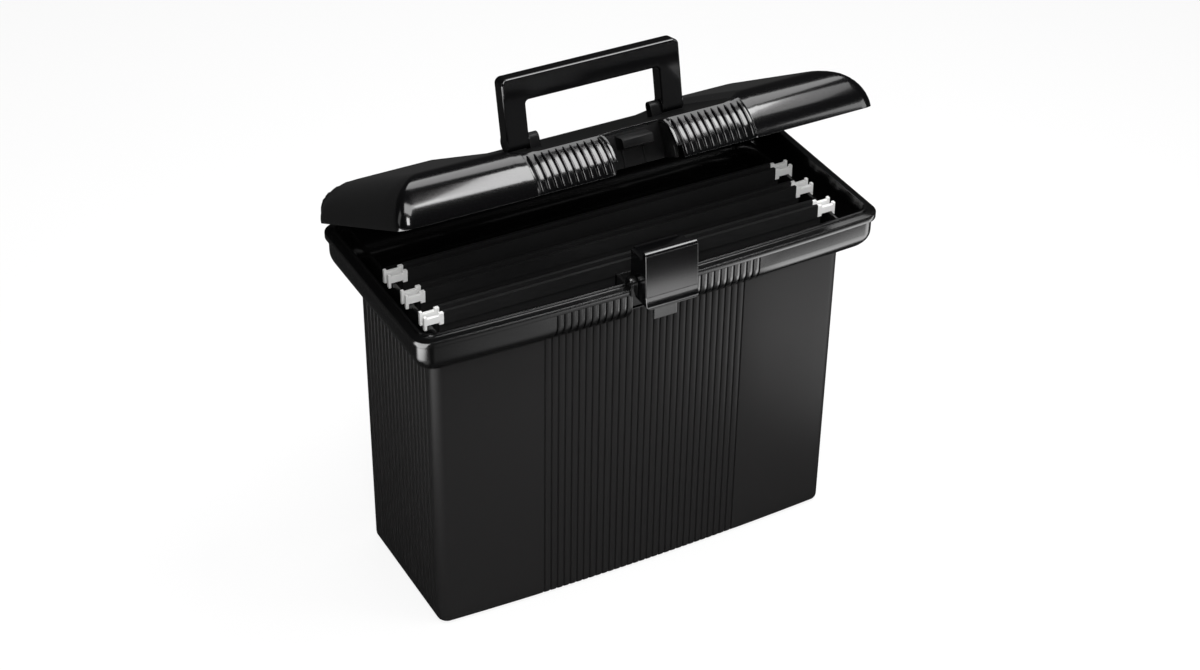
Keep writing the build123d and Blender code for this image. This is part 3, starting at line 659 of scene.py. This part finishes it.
def tubFittings(form):
    # rails for the folders, the latch pocket's walls, the latch ears and the hinge knuckles
    wall, gap, pocket, railTop = form["wall"], form["seatGap"], form["pocketHalf"], form["railTop"]
    topX, topY = form["halfWidth"] + form["draftX"], form["halfDepth"] + form["draftY"]
    half = collarInside(form, topY, 1)
    outline = half + [(half[-1][0], railTop), (-half[-1][0], railTop)] + [(-y, z) for y, z in reversed(half)]
    railOuter = topX - wall
    fittings = platePair("rail", outline, railOuter, railOuter - form["railThickness"])
    front = -topY - form["bow"]
    low, high = form["collarBase"] + gap, form["lipTop"]
    cheek = [(front + wall, low)] + collarInside(form, front, -1)
    cheek += [(front - form["flareY"] + form["tuck"], high - gap), (front + wall, high - gap)]
    fittings += platePair("pocketCheek", cheek, pocket, pocket + wall)
    backWall = [(front, low), (front, high), (front + wall, high), (front + wall, low)]
    fittings.append(plateAcross("pocketBack", backWall, -pocket - wall, pocket + wall))
    pivotY, radius = form["pivotY"], form["earRadius"]
    ear = arcPoints(pivotY, form["pivotZ"], radius, 0, 180)
    ear += [(pivotY - radius, form["lipBase"]), (pivotY + radius, form["lipBase"])]
    fittings += platePair("latchEar", ear, form["earInner"], form["earInner"] + form["earWidth"])
    arm = topY + form["flareY"] + form["lipOut"] - 1
    hingeY, hingeZ, barrel = form["hingeY"], form["hingeZ"], form["barrel"]
    knuckle = arcPoints(hingeY, hingeZ, barrel, -90, 180, 18)
    knuckle += [(hingeY - barrel, hingeZ - gap), (arm, hingeZ - gap), (arm, hingeZ - barrel)]
    offset = form["knuckle"] / 2 + form["sideGap"] + form["hingeEar"] / 2
    middles = [side * form["hingeSpacing"] / 2 + end * offset for side in (-1, 1) for end in (-1, 1)]
    fittings += plateRow("hingeEar", knuckle, middles, form["hingeEar"])
    return softened(fittings, form["edge"])


tubPiece = joined("tubShell", [tubShell(tubForm)] + tubFittings(tubForm))
dress(tubPiece, "tub", tubPlastic, "tub")
tubPiece.data.materials.append(collarPlastic)
for face in tubPiece.data.polygons:
    face.material_index = 1 if face.center.z > tubForm["collarBase"] * mm else 0
print("tub made:", len(tubPiece.data.polygons), "faces")


# The lid: a hollow shell with rounded front and sides, a trough for the handle and ribs beside the latch

lidForm = {
    "halfWidth": 179.7, "front": 168.0, "back": 5.2, "bow": 4.7, "height": 31.0, "wall": 2.5,
    "roofSlope": 3.25, "backRadius": 12.0, "cornerRadius": 9.0, "creaseRadius": 1.2,
    "cornerTaper": 0.55, "cornerReach": 0.8, "ribBand": (24.9, 82.5),
    "troughFloor": 78.0, "troughTop": 92.0, "troughDepth": 5.2, "dullShadeHalf": 91.0, "dullShadeFacing": 0.985,
    "recessHalf": 22.5, "recessDepth": 150.0, "notchHalf": 26.3, "notchDepth": 165.7, "notchHeight": 8.6,
    "cutAhead": 12.0, "cutBelow": -5.0, "cutAbove": 45.0, "edge": 0.35, "edgeAngle": 58, "smoothAngle": 34,
    "openAngle": 27.0, "hingeY": 87.0, "hingeZ": 263.2, "rollSteps": 14, "roofSteps": 14, "backSteps": 5,
}
lidPlace = (
    Matrix.Translation((0, lidForm["hingeY"] * mm, lidForm["hingeZ"] * mm))
    @ Matrix.Rotation(radians(-lidForm["openAngle"]), 4, "X")
)


def lidBow(form, x):
    arc = (form["halfWidth"] ** 2 + form["bow"] ** 2) / (2 * form["bow"])
    return form["bow"] - arc + sqrt(arc * arc - x * x)


def lidColumns(form):
    # across the lid: (x, share of the full height) from left to right, closer together where the form is fine
    right = []
    for step in range(form["rollSteps"] + 1):
        turn = radians(90 * step / form["rollSteps"])
        right.append((form["halfWidth"] - form["height"] + form["height"] * cos(turn), sin(turn)))
    right += [(x, 1) for x in (132, 112, 98, 93.5, 92, 90.5, 86, 83)]
    right += [(x, 1) for x in (82.7, 82.3, 70, 60, 50, 40, 30, 25.1, 24.7, 22.5, 12, 0)]
    right = sorted(set(right), key=lambda column: -column[0])
    left = [(-x, share) for x, share in right if x > 0]
    return left + right[::-1]


def roundedCorner(form, x, y, frontY, inset):
    # draws a point near a corner of the plan onto that corner's arc, tighter higher up the rounded edge
    half = form["halfWidth"] - inset
    fromSide = half - abs(x)
    fromFront = y - frontY
    fromBack = -form["back"] - inset - y
    fromEnd = min(fromFront, fromBack)
    depth = min(fromSide, fromEnd)
    radius = max(form["cornerRadius"] - inset - form["cornerTaper"] * depth, form["creaseRadius"])
    along = abs(fromSide - fromEnd)
    if along >= radius or depth > form["height"] * form["cornerReach"]:
        return x, y
    angle = pi / 4 * (1 - along / radius)
    if fromSide > fromEnd:
        angle = pi / 2 - angle
    across = half - depth - radius + radius * cos(angle)
    if fromFront < fromBack:
        return (across if x > 0 else -across), frontY + depth + radius - radius * sin(angle)
    return (across if x > 0 else -across), -form["back"] - inset - depth - radius + radius * sin(angle)


def lidSheet(form, inset, sink):
    # the lid's outer skin, or its inner skin when drawn in by the wall, as columns of rows
    rise = tan(radians(form["roofSlope"]))
    crest = form["front"] - form["height"]
    roll = form["height"] - inset
    backRound = form["backRadius"] - inset
    backY = -form["back"] - inset
    sheet = []
    for x, share in lidColumns(form):
        inX = x * (form["halfWidth"] - inset) / form["halfWidth"] if share < 1 else x
        spread = (abs(x) - form["troughFloor"]) / (form["troughTop"] - form["troughFloor"])
        sunk = form["troughDepth"] * min(1, max(0, 1 - spread))
        top = form["height"] - inset - sunk
        bow = lidBow(form, x)
        # the turn at which the rounded front meets the roof, or the trough's floor
        low, high = 0.0, pi / 2
        for _ in range(40):
            middle = (low + high) / 2
            if roll * sin(middle) < top + rise * roll * cos(middle):
                low = middle
            else:
                high = middle
        lastTurn = low
        # the ribs stand in a sunk band that fades out towards the roof
        ribbed = sink if form["ribBand"][0] < abs(x) < form["ribBand"][1] else 0
        column = []
        for step in range(form["rollSteps"] + 1):
            turn = lastTurn * step / form["rollSteps"]
            radius = roll - ribbed * min(1, 4 * (1 - step / form["rollSteps"]))
            height = min(radius * sin(turn), form["height"] * share)
            column.append((-crest - bow - radius * cos(turn), height))
        startY = column[-1][0]
        endY = backY - backRound
        for step in range(1, form["roofSteps"] + 1):
            y = startY + (endY - startY) * step / form["roofSteps"]
            column.append((y, (top - rise * (y + crest)) * share))
        backTop = top - rise * (endY + crest)
        for step in range(1, form["backSteps"] + 1):
            turn = radians(90 * step / form["backSteps"])
            height = backTop - backRound * (1 - cos(turn))
            column.append((endY + backRound * sin(turn), min(height, backTop * share)))
        column.append((backY, 0))
        frontY = -form["front"] - bow + inset
        points = []
        for y, z in column:
            cornerX, cornerY = roundedCorner(form, inX, y, frontY, inset)
            points.append((cornerX, cornerY, max(z, 0)))
        sheet.append(points)
    return sheet


def sheetFaces(columns, rows, offset, creaseSteps, flip):
    # quads between neighbouring columns and rows, split along the crease at the two front corners
    faces = []
    for i in range(columns - 1):
        for j in range(rows - 1):
            a = offset + i * rows + j
            b, c, d = a + rows, a + rows + 1, a + 1
            if j < creaseSteps and i == j:
                parts = [(a, b, c), (a, c, d)]
            elif j < creaseSteps and columns - 2 - i == j:
                parts = [(a, b, d), (b, c, d)]
            else:
                parts = [(a, b, c, d)]
            faces += [tuple(reversed(part)) for part in parts] if flip else parts
    return faces


def lidShell(form, ribs):
    outer = lidSheet(form, 0, ribs["sink"])
    inner = lidSheet(form, form["wall"], 0)
    columns, rows = len(outer), len(outer[0])
    count = columns * rows
    points = [p for column in outer for p in column] + [p for column in inner for p in column]
    faces = sheetFaces(columns, rows, 0, form["rollSteps"], False)
    faces += sheetFaces(columns, rows, count, form["rollSteps"], True)
    # the rim joins the two skins all round
    ring = [i * rows for i in range(columns)]
    ring += [(columns - 1) * rows + j for j in range(1, rows)]
    ring += [i * rows + rows - 1 for i in range(columns - 2, -1, -1)]
    ring += [j for j in range(rows - 2, 0, -1)]
    for here, there in zip(ring, ring[1:] + ring[:1]):
        faces.append((here, here + count, there + count, there))
    piece = newMesh("lidShell", points, faces)
    tidyMesh(piece, mergeBy=0.00002)
    half, notch = form["recessHalf"], form["notchHalf"]
    front, low, high = -form["front"] - form["cutAhead"], form["cutBelow"], form["cutAbove"]
    carve(
        piece,
        cutBox("recessCut", (-half, front, low), (half, -form["recessDepth"], high)),
        cutBox("notchCut", (-notch, front, low), (notch, -form["notchDepth"], form["notchHeight"])),
    )
    bevelEdges(piece, form["edge"], angle=form["edgeAngle"])
    smoothBy(piece, form["smoothAngle"])
    return piece


# What the lid carries: the recess's walls, the catch and its guide lines, handle ears and hinge knuckles

lidFittings = {
    "recessWall": 2.5, "wallTop": 25.8, "foot": 0.3, "cheekTop": 54, "tuck": 1.2, "notchGap": 0.2,
    "catchHalf": 11.5, "catchReach": 11.0, "catchTop": 21.0, "catchHeight": 7.7,
    "channelPlace": 8.0, "channelWidth": 1.2, "channelDepth": 0.8,
    "earInner": 43.1, "earWidth": 8.0, "earRadius": 4.0, "pivotDepth": 96.0, "pivotHeight": 30.163,
    "knuckleLength": 22.0, "knuckleSpacing": 220.0, "barrel": 4.5, "edge": 0.4,
}


def lidFittingPieces(form, fit):
    deep, half = form["recessDepth"], form["recessHalf"]
    wall, top, foot = fit["recessWall"], fit["wallTop"], fit["foot"]
    back = [(-deep, foot), (-deep, top), (wall - deep, top), (wall - deep, foot)]
    pieces = [plateAcross("recessBack", back, -half - wall, half + wall)]
    crest = form["front"] - form["height"] + form["bow"]
    roll = form["height"] - fit["tuck"]
    # the cheeks stop short of the latch's pivot ears and pin
    notch = form["notchHeight"] + fit["notchGap"]
    highest, lowest = radians(fit["cheekTop"]), asin(notch / roll)
    turns = [highest + (lowest - highest) * step / 10 for step in range(11)]
    cheek = [(wall - deep, foot), (wall - deep, top)]
    cheek += [(-crest - roll * cos(t), roll * sin(t)) for t in turns]
    cheek += [(-form["notchDepth"], notch), (-form["notchDepth"], foot)]
    pieces += platePair("recessCheek", cheek, half, half + wall)
    # the catch, with a sloped upper front, and two thin guide lines below it
    high, low, reach = fit["catchTop"], fit["catchTop"] - fit["catchHeight"], -deep - fit["catchReach"]
    catch = [
        (0.5 - deep, low), (0.5 - deep, high + 2.2), (-deep - 3, high + 1.2), (reach + 1.5, high),
        (reach, high - 1.2), (reach, low + 1.5), (reach + 2.5, low),
    ]
    pieces.append(plateAcross("catch", catch, -fit["catchHalf"], fit["catchHalf"]))
    line = -deep - fit["channelDepth"]
    guide = [(0.5 - deep, 0.4), (0.5 - deep, low + 1), (line, low + 1), (line, 0.4)]
    places = [side * fit["channelPlace"] for side in (-1, 1)]
    pieces += plateRow("guideLine", guide, places, fit["channelWidth"])
    y, z, radius = -fit["pivotDepth"], fit["pivotHeight"], fit["earRadius"]
    behind = form["front"] - form["height"] - fit["pivotDepth"]
    base = form["height"] - behind * tan(radians(form["roofSlope"]))
    base -= form["troughDepth"] + 1
    ear = arcPoints(y, z, radius, 0, 180) + [(y - radius, base), (y + radius, base)]
    pieces += platePair("handleEar", ear, fit["earInner"], fit["earInner"] + fit["earWidth"])
    barrel = arcPoints(0, 0, fit["barrel"], -180, 90, 18)
    barrel += [(-form["back"] - 1, fit["barrel"]), (-form["back"] - 1, 0)]
    places = [side * fit["knuckleSpacing"] / 2 for side in (-1, 1)]
    pieces += plateRow("lidKnuckle", barrel, places, fit["knuckleLength"])
    return softened(pieces, fit["edge"])


# Ribs on the lid's rounded front: one tree sweeps a bar along the roll and repeats it across

lidRibs = {
    "count": 11, "pitch": 5.2, "start": 27.6, "width": 3.9, "rise": 1.0, "sink": 0.95,
    "from": 4.0, "to": 57.0,
}


def ribTree(material):
    tree = bpy.data.node_groups.new("lidRibs", "GeometryNodeTree")
    face = tree.interface
    face.new_socket(name="Geometry", in_out="INPUT", socket_type="NodeSocketGeometry")
    face.new_socket(name="Rib Count", in_out="INPUT", socket_type="NodeSocketInt")
    for name in (
        "Rib Pitch", "First Rib", "Rib Width", "Rib Rise", "Roll Radius", "Roll Centre", "Start Angle",
        "Sweep Angle", "Bow Radius",
    ):
        face.new_socket(name=name, in_out="INPUT", socket_type="NodeSocketFloat")
    face.new_socket(name="Geometry", in_out="OUTPUT", socket_type="NodeSocketGeometry")
    given = addNode(tree, "NodeGroupInput").outputs

    # the path: an arc in the side view
    arc = addNode(tree, "GeometryNodeCurveArc", {
        "Resolution": 22, "Radius": given["Roll Radius"], "Start Angle": given["Start Angle"],
        "Sweep Angle": given["Sweep Angle"],
    })
    stand = addNode(tree, "GeometryNodeTransform", {
        "Geometry": arc.outputs["Curve"], "Rotation": (radians(90), 0, radians(-90)),
    })

    # the section: half sunk in the roll, wide across the box
    section = addNode(tree, "GeometryNodeCurvePrimitiveCircle", {"Resolution": 14, "Radius": 1.0})
    half = mathNode(tree, "MULTIPLY", given["Rib Width"], 0.5)
    scale = addNode(tree, "ShaderNodeCombineXYZ", {"X": given["Rib Rise"], "Y": half, "Z": 1})
    shape = addNode(tree, "GeometryNodeTransform", {
        "Geometry": section.outputs["Curve"], "Scale": scale.outputs[0],
    })

    # thinner towards the upper end
    along = addNode(tree, "GeometryNodeSplineParameter").outputs["Factor"]
    taper = addNode(tree, "ShaderNodeMapRange", {
        "Value": along, "From Min": 0.9, "From Max": 1.0, "To Min": 1.0, "To Max": 0.45,
    })
    sweep = addNode(tree, "GeometryNodeCurveToMesh", {
        "Curve": stand.outputs["Geometry"], "Profile Curve": shape.outputs["Geometry"],
        "Scale": taper.outputs["Result"], "Fill Caps": True,
    })

    first = addNode(tree, "ShaderNodeCombineXYZ", {"X": given["First Rib"]})
    stride = addNode(tree, "ShaderNodeCombineXYZ", {"X": given["Rib Pitch"]})
    row = addNode(tree, "GeometryNodeMeshLine", {
        "Count": given["Rib Count"], "Start Location": first.outputs[0], "Offset": stride.outputs[0],
    })
    repeat = addNode(tree, "GeometryNodeInstanceOnPoints", {
        "Points": row.outputs["Mesh"], "Instance": sweep.outputs["Mesh"],
    })
    real = addNode(tree, "GeometryNodeRealizeInstances", {"Geometry": repeat.outputs["Instances"]})

    # every rib moves to the roll's centre and back by the bow's curve
    spot = addNode(tree, "GeometryNodeInputPosition").outputs[0]
    across = addNode(tree, "ShaderNodeSeparateXYZ", {0: spot}).outputs["X"]
    squared = mathNode(tree, "MULTIPLY", across, across)
    bow = mathNode(tree, "DIVIDE", squared, mathNode(tree, "MULTIPLY", given["Bow Radius"], 2))
    shift = addNode(tree, "ShaderNodeCombineXYZ", {"Y": mathNode(tree, "ADD", bow, given["Roll Centre"])})
    bend = addNode(tree, "GeometryNodeSetPosition", {
        "Geometry": real.outputs["Geometry"], "Offset": shift.outputs[0],
    })
    smooth = addNode(tree, "GeometryNodeSetShadeSmooth", {"Geometry": bend.outputs["Geometry"]})
    paint = addNode(tree, "GeometryNodeSetMaterial", {
        "Geometry": smooth.outputs["Geometry"], "Material": material,
    })
    addNode(tree, "NodeGroupOutput", {"Geometry": paint.outputs["Geometry"]})
    return tree


def ribRow(tree, form, ribs, side):
    row = newMesh("lidRibRow", [(0, 0, 0)], [])
    nodes = row.modifiers.new("ribs", "NODES")
    nodes.node_group = tree
    first = ribs["start"] if side > 0 else -ribs["start"] - (ribs["count"] - 1) * ribs["pitch"]
    values = {
        "Rib Count": ribs["count"], "Rib Pitch": ribs["pitch"] * mm, "First Rib": first * mm,
        "Rib Width": ribs["width"] * mm, "Rib Rise": ribs["rise"] * mm,
        "Roll Radius": (form["height"] - ribs["rise"]) * mm,
        "Roll Centre": -(form["front"] - form["height"] + form["bow"]) * mm,
        "Start Angle": radians(ribs["from"]), "Sweep Angle": radians(ribs["to"] - ribs["from"]),
        "Bow Radius": (form["halfWidth"] ** 2 + form["bow"] ** 2) / (2 * form["bow"]) * mm,
    }
    for item in tree.interface.items_tree:
        if item.item_type == "SOCKET" and item.in_out == "INPUT" and item.name in values:
            nodes[item.identifier] = values[item.name]
    bakeModifiers(row)
    return row


ribs = ribTree(glossPlastic)
ribRows = [ribRow(ribs, lidForm, lidRibs, side) for side in (-1, 1)]
print("lid ribs swept:", [len(row.data.polygons) for row in ribRows], "faces")
lidPiece = lidShell(lidForm, lidRibs)
shellFaces = len(lidPiece.data.polygons) + sum(len(row.data.polygons) for row in ribRows)
lidPiece = joined("lidShell", [lidPiece] + ribRows + lidFittingPieces(lidForm, lidFittings))
lidPiece.data.transform(lidPlace)
dress(lidPiece, "lid", glossPlastic, "lid")
# the trough's floor and the fittings (recess, catch, handle ears and knuckles) are duller than the shell, and
# darker in reflections as painted shade
lidPiece.data.materials.append(recessShadePlastic)
lean = radians(lidForm["openAngle"] + lidForm["roofSlope"])
roofUp = Vector((0, sin(lean), cos(lean)))
for face in lidPiece.data.polygons:
    facing = face.normal.dot(roofUp)
    trough = facing > lidForm["dullShadeFacing"] and abs(face.center.x) < lidForm["dullShadeHalf"] * mm
    face.material_index = 1 if face.index >= shellFaces or trough else 0
print("lid made:", len(lidPiece.data.polygons), "faces")


bodyOf = {}
for body, nodes in frame["record"]["behaviour"]["bodies"].items():
    for node in nodes:
        bodyOf[node] = body

# The handle's long edges, rounded off everywhere but round its turning feet

handleForm = {
    "edge": 1.0, "segments": 3, "sharp": 35, "pivotY": 15.157, "pivotZ": 333.659,
    "footRadius": 7.5, "longEdge": 4.0,
}


def softenHandle(bm):
    form = handleForm
    sharp = []
    for edge in bm.edges:
        if len(edge.link_faces) != 2 or edge.calc_face_angle() < radians(form["sharp"]):
            continue
        start, end = (v.co for v in edge.verts)
        reach = min(
            sqrt((p.y / mm - form["pivotY"]) ** 2 + (p.z / mm - form["pivotZ"]) ** 2) for p in (start, end)
        )
        alongside = edge.calc_length() > form["longEdge"] * mm and abs(start.x - end.x) < mm
        if reach > form["footRadius"] or alongside:
            sharp.append(edge)
    bmesh.ops.bevel(
        bm, geom=sharp, offset=form["edge"] * mm, offset_type="OFFSET", segments=form["segments"],
        profile=0.5, affect="EDGES", clamp_overlap=False,
    )


# The latch's front plate: a creased lip at its foot, and a face that leans back towards the rolled top

latchForm = {
    "front": -99.0, "plate": 2.5, "flare": 2.2, "foot": 252.4, "cadCrease": 257.0, "crease": 261.5,
    "top": 295.0, "lean": 1.8, "leanCurve": 1.5, "slack": 0.6, "reach": -101.2,
    "levels": (255, 259, 260.6, 261.2, 261.5, 261.8, 262.4, 267, 272, 277, 282, 287, 291),
}


def shapeLatch(bm):
    form = latchForm
    for level in form["levels"]:
        whole = bm.verts[:] + bm.edges[:] + bm.faces[:]
        bmesh.ops.bisect_plane(bm, geom=whole, plane_co=(0, 0, level * mm), plane_no=(0, 0, 1))
    for point in bm.verts:
        y, z = point.co.y / mm, point.co.z / mm
        if y > form["front"] + form["plate"] + form["slack"] or z < form["foot"] - 0.1:
            continue
        if z < form["crease"]:
            wanted = -form["flare"] * (form["crease"] - z) / (form["crease"] - form["foot"])
        else:
            share = (z - form["crease"]) / (form["top"] - form["crease"])
            wanted = form["lean"] * share ** form["leanCurve"]
        if z < form["cadCrease"] and y < form["front"] + 0.05:
            wanted += form["flare"] * (form["cadCrease"] - z) / (form["cadCrease"] - form["foot"])
        point.co.y = max(point.co.y + wanted * mm, form["reach"] * mm)


# how far each kind of piece has its edges rounded
edgeForm = {"tips": 0.3, "handle": 0.2, "latch": 0.5, "sheet": 0.12}

for node in frame["nodes"]:
    if node in ("lid", "tub"):
        continue
    kind = node.split("_")[-1]
    if kind == "tips":
        dress(refined(node, edgeForm["tips"]), bodyOf[node], tipPlastic, node)
    elif kind == "handle":
        dress(refined(node, edgeForm["handle"], shape=softenHandle), bodyOf[node], glossPlastic, node)
    elif kind == "latch":
        latch = refined(node, edgeForm["latch"], segments=3, shape=shapeLatch, clamp=False)
        dress(latch, bodyOf[node], glossPlastic, node)
    elif kind == "sheet":
        dress(refined(node, edgeForm["sheet"]), bodyOf[node], folderCard, node)
    else:
        source = frame["nodes"][node]
        source.data.materials.clear()
        source.data.materials.append(rodSteel if kind == "rod" else glossPlastic)
print("handle, latch and folders dressed")
